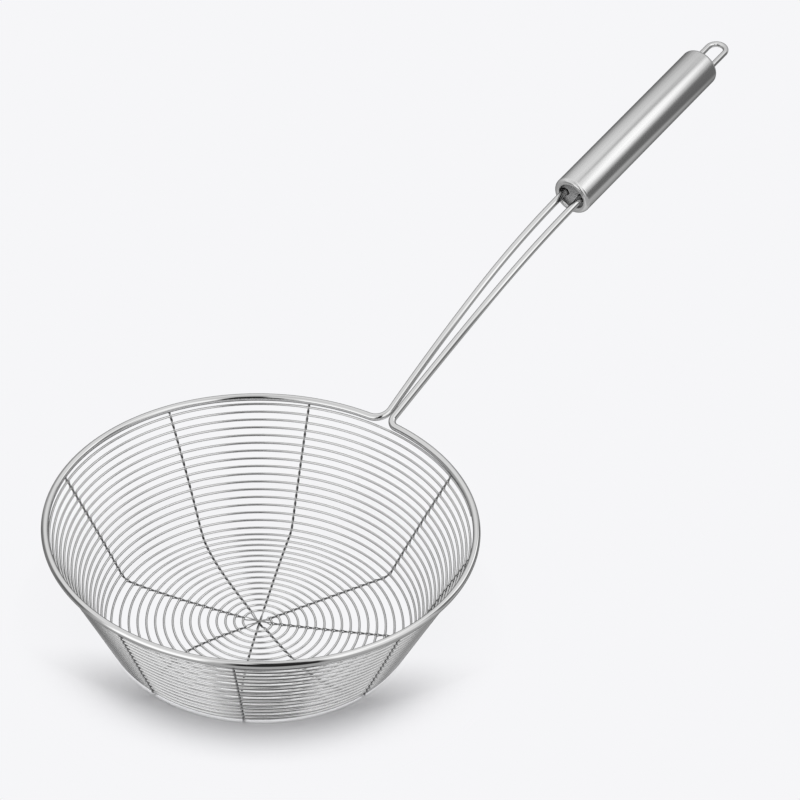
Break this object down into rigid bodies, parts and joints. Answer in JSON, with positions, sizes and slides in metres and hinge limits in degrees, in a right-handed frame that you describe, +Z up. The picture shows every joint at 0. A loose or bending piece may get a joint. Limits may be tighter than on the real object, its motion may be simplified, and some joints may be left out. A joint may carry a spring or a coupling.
{
  "type": "spider skimmer",
  "caption": "Round wire spider skimmer: a shallow coiled-wire basket with twisted ribs in a bent wire frame, on a long arched double shaft with a tubular handle and a hanging loop.",
  "frame": {"origin": "on the basket's axis, at the level that the basket's floor ribs stand on", "axes": "+Z up along the basket's axis, +X from the basket toward the handle, +Y sideways"},
  "size_m": [0.4398, 0.18, 0.1154],
  "materials": {
    "frame_wire": "polished stainless steel wire",
    "coil_wire": "bright drawn stainless steel wire",
    "rib_wire": "bright twisted stainless steel wire",
    "handle_tube": "satin stainless steel, brushed along its length",
    "front_plug": "plain grey plastic",
    "anchor": "plain grey plastic",
    "loop_wire": "polished stainless steel wire"
  },
  "bodies": {
    "root": {"frame_wire": "frame_wire", "floor_coil": "coil_wire", "wall_coil": "coil_wire", "rib_1_strand_a": "rib_wire", "rib_1_strand_b": "rib_wire", "rib_2_strand_a": "rib_wire", "rib_2_strand_b": "rib_wire", "rib_3_strand_a": "rib_wire", "rib_3_strand_b": "rib_wire", "rib_4_strand_a": "rib_wire", "rib_4_strand_b": "rib_wire", "handle_tube": "handle_tube", "front_plug": "front_plug", "shaft_anchor": "anchor", "loop_anchor": "anchor", "hanging_loop": "loop_wire"}
  },
  "joints": []
}
